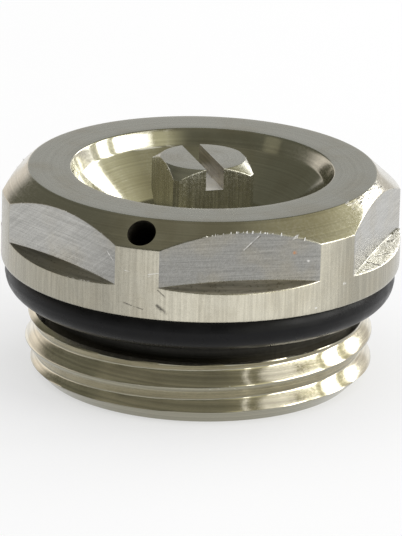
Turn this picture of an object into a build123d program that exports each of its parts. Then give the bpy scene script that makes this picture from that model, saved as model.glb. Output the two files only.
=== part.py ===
from build123d import *
import os
from math import atan2, cos, degrees, radians, sin, tan

os.makedirs("parts", exist_ok=True)

# Radiator air vent with a half-inch pipe thread, standing on its thread end.
# Millimetres, +Z up, origin in the middle of the thread's end. The vent hole looks towards -Y.
# Azimuths are in degrees, counted from -Y towards +X.

# Pipe thread: 14 turns to the inch, 55 degrees between its flanks, right-handed
thread_major_d = 20.955
thread_pitch = 25.4 / 14
thread_depth = 1.162
thread_flank_angle = 27.5
thread_root_flat = 0.302
thread_length = 7.0
thread_end_chamfer = 1.0
thread_top_chamfer = 0.5
crest_z_at_vent = 2.16
groove_overcut = 0.12

# Neck and O-ring under the collar
neck_below_root = 0.065
ring_section_d = 2.5
ring_seat_depth = 0.44
ring_lip_clearance = 0.06
ring_thread_gap = 1.1

# Collar and hexagon head; the depth of the flats makes the head 22 mm across them
collar_overhang = 0.25
collar_edge_r = 0.3
head_height = 5.7
flat_depth = 1.0
flat_count = 6
first_flat_azimuth = 30.0
shoulder_width = 1.55
shoulder_drop = 1.4

# Ledge where each flat runs out above the collar: it falls outwards and bows like a cutter's sweep
ledge_height = 2.32
ledge_slope = 25.6
ledge_sweep_offset = 12.0

# Funnel in the top: a steep lip, then a cone, then a narrow floor round the screw hole
funnel_rim_r = 7.91
lip_draft = 0.48
lip_depth = 1.0
cone_slope = 45.0
funnel_floor_width = 0.7

# Hollow underside, valve seat round its outlet, chamber, and the hole for the bleed screw
thread_wall = 2.1
underside_depth = 2.4
underside_edge = 0.4
web_thickness = 1.2
orifice_r = 1.25
seat_height = 0.5
seat_slope = 0.2
seat_width = 0.7
chamber_height = 2.4
chamber_step = 0.6
screw_thread_d = 8.0
screw_hole_countersink = 0.3

# Vent hole, drilled from the middle of the shoulder into the top of the chamber
vent_d = 1.7
vent_overrun = 1.5

# Soft pad that closes the valve seat, held in the screw's tip by a bead on its stem
pad_overlap = 0.25
pad_thickness = 1.05
pad_edge = 0.2
pad_stem_r = 1.0
pad_stem_neck = 1.1
pad_stem_end = 0.25
pad_bead = 0.3
pad_bead_height = 0.4
pad_radial_clearance = 0.05
pad_face_clearance = 0.02

# Bleed screw: a square with a driver slot, a neck, a threaded shank and a tip
screw_projection = 0.65
square_af = 5.0
square_corner_d = 6.7
square_top_d = 5.1
square_top_slope = 35.0
square_length = 2.45
square_taper = 1.2
screw_neck_r = 2.75
shank_chamfer = 0.37
shank_end_clearance = 0.1
screw_running_clearance = 0.05
screw_tip_clearance = 0.8
slot_width = 1.1
slot_depth = 1.3
slot_azimuth = 35.3

# Room by which the cutters reach past the metal
cutter_reach = 2.0


def turned(points):
    """A solid turned about Z from (radius, height) points."""
    with BuildPart() as blank:
        with BuildSketch(Plane.XZ):
            with BuildLine():
                Polyline(*points, close=True)
            make_face()
        revolve(axis=Axis.Z)
    return blank.part


def facing(azimuth):
    """Rotation that takes +X to the given azimuth."""
    return Rot(0, 0, azimuth - 90)


# Radii and heights of the plug, from the thread outwards and upwards
thread_r = thread_major_d / 2
thread_root_r = thread_r - thread_depth
neck_r = thread_root_r - neck_below_root
ring_r = ring_section_d / 2
ring_centre_r = neck_r + ring_r
ring_seat_z = thread_length + ring_seat_depth
ring_centre_z = ring_seat_z - ring_r
ring_half_chord = (ring_r**2 - (ring_centre_z - thread_length) ** 2) ** 0.5
ring_lip_r = ring_centre_r + ring_half_chord + ring_lip_clearance
thread_top_z = ring_centre_z - ring_r - ring_thread_gap
collar_r = neck_r + ring_section_d + collar_overhang
edge_mid_r = collar_r - collar_edge_r * (1 - cos(radians(45)))
edge_mid_z = thread_length + collar_edge_r * (1 - sin(radians(45)))
head_top_z = thread_length + head_height
shoulder_top_r = collar_r - shoulder_width
shoulder_z = head_top_z - shoulder_drop

# Radii and heights of the funnel, the screw hole and the valve seat
screw_hole_r = screw_thread_d / 2
countersink_r = screw_hole_r + screw_hole_countersink
funnel_floor_r = countersink_r + funnel_floor_width
lip_r = funnel_rim_r - lip_draft
lip_z = head_top_z - lip_depth
funnel_floor_z = lip_z - (lip_r - funnel_floor_r) * tan(radians(cone_slope))
underside_r = thread_root_r - thread_wall
chamber_floor_z = underside_depth + web_thickness
seat_z = chamber_floor_z + seat_height
seat_outer_r = orifice_r + seat_width
chamber_r = screw_hole_r - chamber_step
chamber_top_z = chamber_floor_z + chamber_height

# Turned blank of the plug
with BuildPart() as plug_blank:
    with BuildSketch(Plane.XZ):
        with BuildLine():
            Polyline(
                (collar_r - collar_edge_r, thread_length),
                (ring_lip_r, thread_length),
                (ring_lip_r, ring_seat_z),
                (neck_r, ring_seat_z),
                (neck_r, thread_top_z),
                (thread_r - thread_top_chamfer, thread_top_z),
                (thread_r, thread_top_z - thread_top_chamfer),
                (thread_r, thread_end_chamfer),
                (thread_r - thread_end_chamfer, 0),
                (underside_r + underside_edge, 0),
                (underside_r, underside_edge),
                (underside_r, underside_depth),
                (orifice_r, underside_depth),
                (orifice_r, seat_z - seat_slope),
                (orifice_r + seat_slope, seat_z),
                (seat_outer_r, seat_z),
                (seat_outer_r, chamber_floor_z),
                (chamber_r, chamber_floor_z),
                (chamber_r, chamber_top_z),
                (screw_hole_r, chamber_top_z),
                (screw_hole_r, funnel_floor_z - screw_hole_countersink),
                (countersink_r, funnel_floor_z),
                (funnel_floor_r, funnel_floor_z),
                (lip_r, lip_z),
                (funnel_rim_r, head_top_z),
                (shoulder_top_r, head_top_z),
                (collar_r, shoulder_z),
                (collar_r, thread_length + collar_edge_r),
            )
            ThreePointArc(
                (collar_r, thread_length + collar_edge_r),
                (edge_mid_r, edge_mid_z),
                (collar_r - collar_edge_r, thread_length),
            )
        make_face()
    revolve(axis=Axis.Z)
plug_body = plug_blank.part

# Hexagon flats, each cut down to its bowed ledge
flat_r = collar_r - flat_depth
flat_ledge_z = thread_length + ledge_height
cutter_inner = flat_r - cutter_reach
cutter_outer = collar_r + cutter_reach
cutter_top = head_top_z + cutter_reach


def ledge_z(x):
    """Height of the ledge at a distance along the flat's normal."""
    return flat_ledge_z - (x - flat_r) * tan(radians(ledge_slope))


swept_ring = turned(
    [
        (cutter_inner + ledge_sweep_offset, ledge_z(cutter_inner)),
        (cutter_outer + ledge_sweep_offset, ledge_z(cutter_outer)),
        (cutter_outer + ledge_sweep_offset, cutter_top),
        (cutter_inner + ledge_sweep_offset, cutter_top),
    ]
)
beyond_flat = Pos(flat_r, 0, 0) * Box(
    cutter_outer - flat_r, 2 * collar_r, 2 * cutter_top, align=(Align.MIN, Align.CENTER, Align.CENTER)
)
flat_cutter = Pos(-ledge_sweep_offset, 0, 0) * swept_ring & beyond_flat
for index in range(flat_count):
    plug_body -= facing(first_flat_azimuth + index * 360 / flat_count) * flat_cutter

# Vent hole
vent_mouth_r = collar_r - shoulder_width / 2
vent_mouth_z = head_top_z - shoulder_drop / 2
vent_inner_z = chamber_top_z - vent_d / 2
vent_slope = degrees(atan2(vent_mouth_z - vent_inner_z, vent_mouth_r - chamber_r))
vent_length = (vent_mouth_r - chamber_r) / cos(radians(vent_slope)) + 2 * vent_overrun
vent_middle_r = (vent_mouth_r + chamber_r) / 2
vent_middle_z = (vent_mouth_z + vent_inner_z) / 2
vent_drill = Rot(0, 90 - vent_slope, 0) * Cylinder(vent_d / 2, vent_length)
plug_body -= facing(0) * Pos(vent_middle_r, 0, vent_middle_z) * vent_drill

# Groove of the pipe thread, wound in half turns from below the end until it runs out in the neck
half_root = thread_root_flat / 2
half_mouth = half_root + (thread_depth + groove_overcut) * tan(radians(thread_flank_angle))
half_turn_rise = thread_pitch / 2
groove_start_z = (crest_z_at_vent - thread_pitch / 4) % thread_pitch - 2 * thread_pitch
groove_end_z = (thread_top_z + ring_seat_z) / 2
half_turns = round((groove_end_z - groove_start_z) / half_turn_rise)


def half_turn_of_groove(start_z):
    """Half a turn of the groove, which starts at +X."""
    with BuildPart() as groove:
        with BuildLine() as winding:
            Helix(thread_pitch, half_turn_rise, thread_root_r, center=(0, 0, start_z))
        with BuildSketch(Plane.XZ):
            with BuildLine():
                Polyline(
                    (thread_root_r, start_z - half_root),
                    (thread_r + groove_overcut, start_z - half_mouth),
                    (thread_r + groove_overcut, start_z + half_mouth),
                    (thread_root_r, start_z + half_root),
                    close=True,
                )
            make_face()
        sweep(path=winding.line, is_frenet=True)
    return groove.part


for index in range(half_turns):
    plug_body -= Rot(0, 0, 180 * index) * half_turn_of_groove(groove_start_z + index * half_turn_rise)
export_step(plug_body, "parts/plug_body.step")

# O-ring
head_ring = Pos(0, 0, ring_centre_z) * Torus(ring_centre_r, ring_r)
export_step(head_ring, "parts/head_ring.step")

# Soft pad on the valve seat
pad_r = seat_outer_r + pad_overlap
pad_top_z = seat_z + pad_thickness
bead_bottom_z = pad_top_z + pad_stem_neck
bead_top_z = bead_bottom_z + pad_bead_height
pad_stem_top_z = bead_top_z + pad_stem_end
valve_pad = turned(
    [
        (0, seat_z),
        (pad_r - pad_edge, seat_z),
        (pad_r, seat_z + pad_edge),
        (pad_r, pad_top_z),
        (pad_stem_r, pad_top_z),
        (pad_stem_r, bead_bottom_z),
        (pad_stem_r + pad_bead, bead_bottom_z),
        (pad_stem_r, bead_top_z),
        (pad_stem_r, pad_stem_top_z),
        (0, pad_stem_top_z),
    ]
)
export_step(valve_pad, "parts/valve_pad.step")

# Turned blank of the bleed screw, with a socket for the pad's stem in its tip
screw_top_z = head_top_z + screw_projection
square_corner_r = square_corner_d / 2
square_top_r = square_top_d / 2
corner_top_z = screw_top_z - (square_corner_r - square_top_r) * tan(radians(square_top_slope))
taper_top_z = screw_top_z - square_length
taper_bottom_z = taper_top_z - square_taper
shank_r = screw_hole_r - screw_running_clearance
shank_bottom_z = chamber_top_z + shank_end_clearance
tip_r = chamber_r - screw_tip_clearance
tip_z = pad_top_z + pad_face_clearance
socket_r = pad_stem_r + pad_radial_clearance
socket_bead_bottom_z = bead_bottom_z - pad_radial_clearance
socket_bead_top_z = bead_top_z + pad_radial_clearance
socket_top_z = pad_stem_top_z + pad_radial_clearance
bleed_screw = turned(
    [
        (socket_r, tip_z),
        (tip_r, tip_z),
        (tip_r, shank_bottom_z),
        (shank_r - shank_chamfer, shank_bottom_z),
        (shank_r, shank_bottom_z + shank_chamfer),
        (shank_r, funnel_floor_z - shank_chamfer),
        (shank_r - shank_chamfer, funnel_floor_z),
        (screw_neck_r, funnel_floor_z),
        (screw_neck_r, taper_bottom_z),
        (square_corner_r, taper_top_z),
        (square_corner_r, corner_top_z),
        (square_top_r, screw_top_z),
        (0, screw_top_z),
        (0, socket_top_z),
        (socket_r, socket_top_z),
        (socket_r, socket_bead_top_z),
        (socket_r + pad_bead, socket_bead_top_z),
        (socket_r + pad_bead, socket_bead_bottom_z),
        (socket_r, socket_bead_bottom_z),
    ]
)

# Square and driver slot of the bleed screw
square_height = screw_top_z - taper_bottom_z
upright = (Align.CENTER, Align.CENTER, Align.MIN)
square_blank = Pos(0, 0, taper_bottom_z) * Cylinder(square_corner_d, square_height, align=upright)
square_core = Pos(0, 0, taper_bottom_z) * Box(square_af, square_af, square_height, align=upright)
driver_slot = Pos(0, 0, screw_top_z - slot_depth) * Box(
    2 * square_corner_d, slot_width, slot_depth + cutter_reach, align=upright
)
bleed_screw -= facing(slot_azimuth) * (square_blank - square_core)
bleed_screw -= facing(slot_azimuth) * driver_slot
export_step(bleed_screw, "parts/bleed_screw.step")
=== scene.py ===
"""Looks of a radiator air vent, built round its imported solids.

Sizes are in millimetres and angles in degrees. Azimuth 0 is the side of the vent hole, and
azimuths grow towards +X.
"""

import logging
import math
import random
from dataclasses import dataclass, field
from enum import Enum, IntEnum
from typing import ClassVar

import bmesh
import bpy
import numpy as np
from mathutils import Matrix, Quaternion, Vector


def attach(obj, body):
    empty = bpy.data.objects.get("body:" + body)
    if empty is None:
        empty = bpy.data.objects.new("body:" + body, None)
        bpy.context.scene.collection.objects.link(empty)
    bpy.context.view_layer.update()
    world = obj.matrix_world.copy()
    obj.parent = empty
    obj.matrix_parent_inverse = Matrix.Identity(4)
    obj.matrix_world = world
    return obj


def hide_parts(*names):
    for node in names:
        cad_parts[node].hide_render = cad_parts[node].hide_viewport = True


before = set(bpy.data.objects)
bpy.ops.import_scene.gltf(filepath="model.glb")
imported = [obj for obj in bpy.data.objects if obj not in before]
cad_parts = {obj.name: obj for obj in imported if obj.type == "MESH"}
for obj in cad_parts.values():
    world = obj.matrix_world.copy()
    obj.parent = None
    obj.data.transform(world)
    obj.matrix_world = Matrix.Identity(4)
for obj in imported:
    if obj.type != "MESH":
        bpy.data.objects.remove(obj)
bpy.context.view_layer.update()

log = logging.getLogger("air_vent")

Colour = tuple[float, float, float]
Point = tuple[float, float, float]
Span = tuple[float, float]
PerAzimuth = np.ndarray | float
Socket = bpy.types.NodeSocket
Material = bpy.types.Material
Piece = bpy.types.Object

# Blender counts in metres: MM turns a size into them, and the merge distance is given in them.
MM = 0.001
MERGE_DISTANCE = 1e-7
EDGE_SLACK = 1e-6
LEAST_LENGTH = 1e-9
WHITE = (1.0, 1.0, 1.0, 1.0)


class Marks(Enum):
    """Which way the tool marks of a surface run."""

    AROUND = "around"
    UPRIGHT = "upright"
    LEVEL = "level"


class Tone(Enum):
    """Colour of a scratch. The scratches are real; the bright colour is a painted glint, the light
    that a scratch catches.
    """

    DARK = (0.13, 0.12, 0.10)
    # Painted glint: a bright colour standing in for light caught by a scratch or speck.
    BRIGHT = (0.86, 0.85, 0.82)
    RUSTY = (0.55, 0.26, 0.12)


class PlugZone(IntEnum):
    """Surfaces of the plug that have a finish of their own, by material slot."""

    FACE = 0
    FUNNEL = 1
    SHOULDER = 2
    FLAT = 3
    LEDGE = 4
    COLLAR = 5
    THREAD = 6
    INSIDE = 7
    NECK = 8
    TORN = 9


class ScrewZone(IntEnum):
    """Surfaces of the screw that have a finish of their own, by material slot."""

    TOP = 0
    SIDE = 1
    SLOT_WALL = 2
    SLOT_FLOOR = 3


class NodeBoard:
    """Adds and joins the nodes of one material or surround."""

    def __init__(self, tree: bpy.types.NodeTree) -> None:
        """Starts with an empty tree.

        Args:
            tree: the node tree to fill.
        """
        self.tree = tree
        tree.nodes.clear()

    def add(
        self, kind: str, settings: dict[str, object] | None = None, **inputs: object
    ) -> bpy.types.Node:
        """Adds a node.

        Args:
            kind: Blender's name of the node's type.
            settings: properties of the node.
            inputs: a value or an output socket for each named input; underscores stand for spaces.

        Returns:
            The new node.
        """
        node = self.tree.nodes.new(kind)
        for name, value in (settings or {}).items():
            setattr(node, name, value)
        for name, value in inputs.items():
            self.feed(node.inputs[name.replace("_", " ")], value)
        return node

    def feed(self, socket: Socket, value: object) -> None:
        """Gives an input a value or the output of another node.

        Args:
            socket: the input.
            value: a number, a colour, a vector or an output socket.
        """
        if isinstance(value, Socket):
            self.tree.links.new(value, socket)
        else:
            socket.default_value = value

    def maths(self, operation: str, *values: object, clamp: bool = False) -> Socket:
        """A sum of numbers or sockets.

        Args:
            operation: Blender's name of the operation.
            values: its operands, in order.
            clamp: whether the result stays from 0 to 1.

        Returns:
            The result.
        """
        node = self.add("ShaderNodeMath", {"operation": operation, "use_clamp": clamp})
        for socket, value in zip(node.inputs, values):
            self.feed(socket, value)
        return node.outputs[0]

    def vector(self, operation: str, *values: object) -> Socket:
        """A sum of vectors.

        Args:
            operation: Blender's name of the operation.
            values: its operands, in order.

        Returns:
            The result, a number where the operation gives one.
        """
        node = self.add("ShaderNodeVectorMath", {"operation": operation})
        for socket, value in zip(node.inputs, values):
            self.feed(socket, value)
        gives_number = operation in ("LENGTH", "DOT_PRODUCT", "DISTANCE")
        return node.outputs["Value" if gives_number else "Vector"]

    def scaled(self, vector: object, factor: object) -> Socket:
        """A vector or colour times a number.

        Args:
            vector: the vector or colour.
            factor: the number.

        Returns:
            The product.
        """
        node = self.add("ShaderNodeVectorMath", {"operation": "SCALE"}, Scale=factor)
        self.feed(node.inputs[0], vector)
        return node.outputs["Vector"]

    def span(
        self, value: Socket, low: float, high: float, to_low: float = 0.0, to_high: float = 1.0
    ) -> Socket:
        """Maps one range of numbers to another, smoothly and within its ends.

        Args:
            value: the number.
            low: where the first range starts.
            high: where the first range ends.
            to_low: where the second range starts.
            to_high: where the second range ends.

        Returns:
            The mapped number.
        """
        node = self.add("ShaderNodeMapRange", {"interpolation_type": "SMOOTHSTEP"})
        for socket, number in zip(node.inputs, (value, low, high, to_low, to_high)):
            self.feed(socket, number)
        return node.outputs["Result"]

    def mix(self, share: object, first: object, second: object) -> Socket:
        """A mix of two colours.

        Args:
            share: how much of the second colour.
            first: the first colour.
            second: the second colour.

        Returns:
            The mixed colour.
        """
        node = self.add("ShaderNodeMix", {"data_type": "RGBA"})
        self.feed(node.inputs["Factor"], share)
        for name, value in (("A", first), ("B", second)):
            socket = next(s for s in node.inputs if s.name == name and s.type == "RGBA")
            self.feed(socket, (*value, 1.0) if isinstance(value, tuple) else value)
        return next(s for s in node.outputs if s.type == "RGBA")

    def noise(self, vector: Socket, scale: float, detail: float = 3.0) -> Socket:
        """Soft noise from 0 to 1.

        Args:
            vector: the point.
            scale: spots per unit of length.
            detail: how many finer layers it has.

        Returns:
            The noise.
        """
        node = self.add("ShaderNodeTexNoise", None, Vector=vector, Scale=scale, Detail=detail)
        return node.outputs["Fac"]

    def parts(self, vector: Socket) -> bpy.types.bpy_prop_collection:
        """The X, Y and Z of a vector, by name."""
        return self.add("ShaderNodeSeparateXYZ", None, Vector=vector).outputs

    def point(self) -> Socket:
        """The point on the piece, in millimetres."""
        return self.scaled(self.add("ShaderNodeTexCoord").outputs["Object"], 1 / MM)

    def show(self, surface: Socket) -> None:
        """Makes a shader the material's surface."""
        self.add("ShaderNodeOutputMaterial", None, Surface=surface)


def new_material(name: str) -> tuple[Material, NodeBoard]:
    """An empty material.

    Args:
        name: its name.

    Returns:
        The material and the board of its nodes.
    """
    material = bpy.data.materials.new(name)
    material.use_nodes = True
    return material, NodeBoard(material.node_tree)


@dataclass(frozen=True)
class Scratch:
    """A straight scratch between two points of the surface."""

    start: Point
    end: Point
    width: float
    tone: Tone = Tone.DARK


@dataclass(frozen=True)
class PaintedSide:
    """A side of the plug painted brighter or darker: painted light and shade, standing in for how
    the light falls on that side.
    """

    azimuth: float
    spread: float
    factor: float


@dataclass(frozen=True)
class NickelFinish:
    """Nickel plate over turned or milled brass.

    The slope says how fast turned marks change outwards and upwards, cross is the way of a second
    set of milled marks, and wall is a painted shade: the darker colour put on the steep and
    downward faces in place of the shade and darker reflections that they get.
    """

    name: str
    colour: Colour
    roughness: float
    marks: Marks
    mark_size: float
    mark_depth: float
    slope: Span = (0.0, 1.0)
    anisotropy: float = 0.0
    stain: Colour = (0.40, 0.36, 0.27)
    stain_share: float = 0.35
    streak: float = 0.5
    grain: float = 0.0
    grain_scale: float = 3.5
    roughness_play: float = 0.06
    metallic: float = 1.0
    cross: Point | None = None
    # A painted shade for the steep and downward faces.
    wall: Colour | None = None
    # A side painted brighter or darker, as painted light and shade.
    painted_side: PaintedSide | None = None
    scratches: tuple[Scratch, ...] = ()

    # Scales are in spots per millimetre, and an edge is where a noise starts and stops to show.
    MARK_DETAIL: ClassVar[float] = 4.0
    DRIFT_SCALE: ClassVar[float] = 0.12
    DRIFT: ClassVar[float] = 2.0
    UPRIGHT_STRETCH: ClassVar[float] = 0.04
    LEVEL_STRETCH: ClassVar[float] = 0.03
    CROSS_STRETCH: ClassVar[float] = 0.97
    CROSS_SCALE: ClassVar[float] = 0.8
    CROSS_SHARE: ClassVar[float] = 0.4
    CLOUD_SCALE: ClassVar[float] = 0.45
    CLOUD_EDGE: ClassVar[Span] = (0.42, 0.72)
    PAINTED_SHADE_RISE: ClassVar[Span] = (0.05, 0.40)
    SPECKLE_SCALE: ClassVar[float] = 6.0
    GRAIN_DETAIL: ClassVar[float] = 6.0
    MIDDLE: ClassVar[Span] = (0.3, 0.7)
    STREAK_GAIN: ClassVar[float] = 0.35
    STREAK_LOSS: ClassVar[float] = 0.55
    SCRATCH_DEPTH: ClassVar[float] = 2.0
    SCRATCH_EDGE: ClassVar[Span] = (0.5, 1.7)
    RAGGED_SCALE: ClassVar[float] = 9.0
    BREAK_SCALE: ClassVar[float] = 5.0
    BREAK_EDGE: ClassVar[Span] = (0.38, 0.56)
    FAINTEST: ClassVar[float] = 0.25
    # A quarter turn, because turned marks smear a reflection across themselves.
    UPRIGHT_SMEAR: ClassVar[float] = 0.25

    def turned_marks(self, board: NodeBoard, here: Socket) -> Socket:
        """Height of marks that run round the axis, from 0 to 1.

        Args:
            board: the material's nodes.
            here: the point, in millimetres.

        Returns:
            The height.
        """
        fine = 1 / self.mark_size
        parts = board.parts(here)
        flat = board.add("ShaderNodeCombineXYZ", None, X=parts["X"], Y=parts["Y"])
        distance = board.vector("LENGTH", flat.outputs["Vector"])
        out = board.maths("MULTIPLY", distance, self.slope[0] * fine)
        up = board.maths("MULTIPLY", parts["Z"], self.slope[1] * fine)
        slow = board.noise(board.scaled(here, self.DRIFT_SCALE), 1.0)
        place = board.maths("ADD", out, up)
        place = board.maths("ADD", place, board.maths("MULTIPLY", slow, self.DRIFT))
        lines = board.add(
            "ShaderNodeTexNoise",
            {"noise_dimensions": "1D"},
            W=place,
            Scale=1.0,
            Detail=self.MARK_DETAIL,
        )
        return lines.outputs["Fac"]

    def milled_marks(self, board: NodeBoard, here: Socket) -> Socket:
        """Height of straight marks, from 0 to 1.

        Args:
            board: the material's nodes.
            here: the point, in millimetres.

        Returns:
            The height.
        """
        fine = 1 / self.mark_size
        if self.marks is Marks.UPRIGHT:
            stretch = (fine, fine, self.UPRIGHT_STRETCH * fine)
        else:
            stretch = (self.LEVEL_STRETCH * fine, self.LEVEL_STRETCH * fine, fine)
        height = board.noise(board.vector("MULTIPLY", here, stretch), 1.0, self.MARK_DETAIL)
        if self.cross is None:
            return height
        way = tuple(Vector(self.cross).normalized())
        along = board.maths("MULTIPLY", board.vector("DOT_PRODUCT", here, way), self.CROSS_STRETCH)
        squeezed = board.vector("SUBTRACT", here, board.scaled(way, along))
        second = board.noise(squeezed, self.CROSS_SCALE * fine)
        first = board.maths("MULTIPLY", height, 1 - self.CROSS_SHARE)
        return board.maths("ADD", first, board.maths("MULTIPLY", second, self.CROSS_SHARE))

    def scratch_mask(self, board: NodeBoard, here: Socket, scratch: Scratch) -> Socket:
        """Where a scratch is, from 0 to 1.

        Args:
            board: the material's nodes.
            here: the point, in millimetres.
            scratch: the scratch.

        Returns:
            The mask.
        """
        width = scratch.width
        run = Vector(scratch.end) - Vector(scratch.start)
        offset = board.vector("SUBTRACT", here, scratch.start)
        reach = board.vector("DOT_PRODUCT", offset, tuple(run))
        along = board.maths("DIVIDE", reach, run.length_squared, clamp=True)
        distance = board.vector("DISTANCE", offset, board.scaled(tuple(run), along))
        ragged = board.maths("MULTIPLY", board.noise(here, self.RAGGED_SCALE), width)
        inner, outer = (share * width for share in self.SCRATCH_EDGE)
        near = board.span(board.maths("ADD", distance, ragged), inner, outer, 1.0, 0.0)
        breaks = board.noise(here, self.BREAK_SCALE)
        return board.maths("MULTIPLY", near, board.span(breaks, *self.BREAK_EDGE, self.FAINTEST))

    def with_painted_side(self, board: NodeBoard, here: Socket) -> Socket:
        """The colour with one side painted brighter or darker, as painted light and shade.

        Args:
            board: the material's nodes.
            here: the point, in millimetres.

        Returns:
            The colour.
        """
        turn = math.radians(self.painted_side.azimuth)
        flat = board.vector("NORMALIZE", board.vector("MULTIPLY", here, (1.0, 1.0, 0.0)))
        near = board.vector("DOT_PRODUCT", flat, (math.sin(turn), -math.cos(turn), 0.0))
        share = board.span(near, math.cos(math.radians(self.painted_side.spread)), 1.0)
        there = tuple(min(1.0, self.painted_side.factor * part) for part in self.colour)
        return board.mix(share, self.colour, there)

    def plating(self, board: NodeBoard, here: Socket, marks: Socket) -> Socket:
        """Colour of the plate, with stains, a side painted brighter or darker, painted shade on the
        steep and downward walls, and streaks along the tool marks.

        Args:
            board: the material's nodes.
            here: the point, in millimetres.
            marks: height of the tool marks.

        Returns:
            The colour.
        """
        # Painted light and shade: one side of the plug is painted brighter or darker.
        colour = self.colour if self.painted_side is None else self.with_painted_side(board, here)
        cloud = board.span(board.noise(here, self.CLOUD_SCALE), *self.CLOUD_EDGE)
        colour = board.mix(board.maths("MULTIPLY", cloud, self.stain_share), colour, self.stain)
        # Painted shade: steep and downward faces take the darker wall colour.
        if self.wall is not None:
            rise = board.parts(board.add("ShaderNodeNewGeometry").outputs["Normal"])["Z"]
            colour = board.mix(board.span(rise, *self.PAINTED_SHADE_RISE), self.wall, colour)
        light, dark = 1 + self.STREAK_GAIN * self.streak, 1 - self.STREAK_LOSS * self.streak
        return board.scaled(colour, board.span(marks, *self.MIDDLE, light, dark))

    def material(self) -> Material:
        """The finish as a material.

        Returns:
            The material.
        """
        material, board = new_material(self.name)
        here = board.point()
        turned = self.marks is Marks.AROUND
        height = self.turned_marks(board, here) if turned else self.milled_marks(board, here)
        colour = self.plating(board, here, height)
        speckle = board.noise(here, self.SPECKLE_SCALE)
        play = board.span(speckle, *self.MIDDLE, -self.roughness_play, self.roughness_play)
        if self.grain > 0:
            rough_grain = board.noise(here, self.grain_scale, self.GRAIN_DETAIL)
            height = board.maths("ADD", height, board.maths("MULTIPLY", rough_grain, self.grain))
        for scratch in self.scratches:
            mask = self.scratch_mask(board, here, scratch)
            colour = board.mix(mask, colour, scratch.tone.value)
            groove = board.maths("MULTIPLY", mask, self.SCRATCH_DEPTH)
            height = board.maths("SUBTRACT", height, groove)
        depth = self.mark_depth * MM
        bump = board.add("ShaderNodeBump", None, Strength=1.0, Distance=depth, Height=height)
        shader = board.add(
            "ShaderNodeBsdfPrincipled",
            None,
            Base_Color=colour,
            Metallic=self.metallic,
            Roughness=board.maths("ADD", play, self.roughness),
            Normal=bump.outputs["Normal"],
        )
        if self.anisotropy > 0:
            around = board.add("ShaderNodeTangent", {"direction_type": "RADIAL", "axis": "Z"})
            board.feed(shader.inputs["Anisotropic"], self.anisotropy)
            board.feed(shader.inputs["Anisotropic Rotation"], self.UPRIGHT_SMEAR)
            board.feed(shader.inputs["Tangent"], around.outputs["Tangent"])
        board.show(shader.outputs["BSDF"])
        return material


@dataclass(frozen=True)
class RubberFinish:
    """Black moulded rubber."""

    name: str
    colour: Colour
    roughness: float
    dust: float
    gloss: float = 0.2

    GRAIN_SCALE: ClassVar[float] = 14.0
    GRAIN_DETAIL: ClassVar[float] = 5.0
    GRAIN_DEPTH: ClassVar[float] = 0.02
    GRAIN_STRENGTH: ClassVar[float] = 0.35
    CLOUD_SCALE: ClassVar[float] = 0.8
    CLOUD_EDGE: ClassVar[Span] = (0.4, 0.75)
    SHEEN_EDGE: ClassVar[Span] = (0.3, 0.7)
    SMOOTHER: ClassVar[float] = 0.06
    ROUGHER: ClassVar[float] = 0.08

    def material(self) -> Material:
        """The finish as a material.

        Returns:
            The material.
        """
        material, board = new_material(self.name)
        here = board.point()
        grain = board.noise(here, self.GRAIN_SCALE, self.GRAIN_DETAIL)
        cloud = board.noise(here, self.CLOUD_SCALE)
        dusty = tuple(min(1.0, part + self.dust) for part in self.colour)
        low, high = self.roughness - self.SMOOTHER, self.roughness + self.ROUGHER
        bump = board.add(
            "ShaderNodeBump",
            None,
            Strength=self.GRAIN_STRENGTH,
            Distance=self.GRAIN_DEPTH * MM,
            Height=grain,
        )
        shader = board.add(
            "ShaderNodeBsdfPrincipled",
            None,
            Base_Color=board.mix(board.span(cloud, *self.CLOUD_EDGE), self.colour, dusty),
            Roughness=board.span(cloud, *self.SHEEN_EDGE, low, high),
            Normal=bump.outputs["Normal"],
            Specular_IOR_Level=self.gloss,
        )
        board.show(shader.outputs["BSDF"])
        return material


TURNED_FACE = NickelFinish(
    "turned_face", (0.505, 0.505, 0.465), roughness=0.27,
    marks=Marks.AROUND, mark_size=0.22, mark_depth=0.0005,
    slope=(1.0, 0.0), streak=0.10, roughness_play=0.02,
)
BRIGHT_FUNNEL = NickelFinish(
    "bright_funnel", (0.60, 0.585, 0.51), roughness=0.15,
    marks=Marks.AROUND, mark_size=0.14, mark_depth=0.0005,
    slope=(0.7, 0.7), anisotropy=0.8, streak=0.15, roughness_play=0.03,
)
BRIGHT_SHOULDER = NickelFinish(
    "bright_shoulder", (0.64, 0.615, 0.545), roughness=0.19,
    marks=Marks.AROUND, mark_size=0.14, mark_depth=0.0008,
    slope=(0.7, -0.7), anisotropy=0.6, streak=0.2,
)
MILLED_FLAT = NickelFinish(
    "milled_flat", (0.45, 0.445, 0.42), roughness=0.29,
    marks=Marks.LEVEL, mark_size=0.08, mark_depth=0.0016,
    anisotropy=0.3, streak=0.4, cross=(0.866, -0.5, 0.8),
    # The middle flat is painted darker: a painted shade.
    painted_side=PaintedSide(azimuth=25.0, spread=52.0, factor=0.69),
    scratches=(
        Scratch((5.68, -9.42, 11.14), (6.43, -8.99, 11.96), 0.035, Tone.BRIGHT),
        Scratch((5.75, -9.38, 11.12), (6.50, -8.95, 11.94), 0.04),
        Scratch((8.29, -7.91, 10.85), (8.33, -7.89, 10.85), 0.14, Tone.RUSTY),
        Scratch((9.00, -7.50, 10.30), (9.04, -7.48, 10.30), 0.08, Tone.BRIGHT),
        Scratch((-1.97, -11.56, 10.75), (-1.44, -11.87, 10.26), 0.03, Tone.BRIGHT),
        Scratch((8.60, -7.74, 11.70), (8.72, -7.67, 11.62), 0.12),
    ),
)
MILLED_LEDGE = NickelFinish(
    "milled_ledge", (0.47, 0.445, 0.44), roughness=0.33,
    marks=Marks.LEVEL, mark_size=0.12, mark_depth=0.0030,
    # The ledges are painted brighter on the side at azimuth 22: a painted highlight.
    streak=0.5, grain=1.0, painted_side=PaintedSide(azimuth=22.0, spread=62.0, factor=1.75),
)
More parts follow.
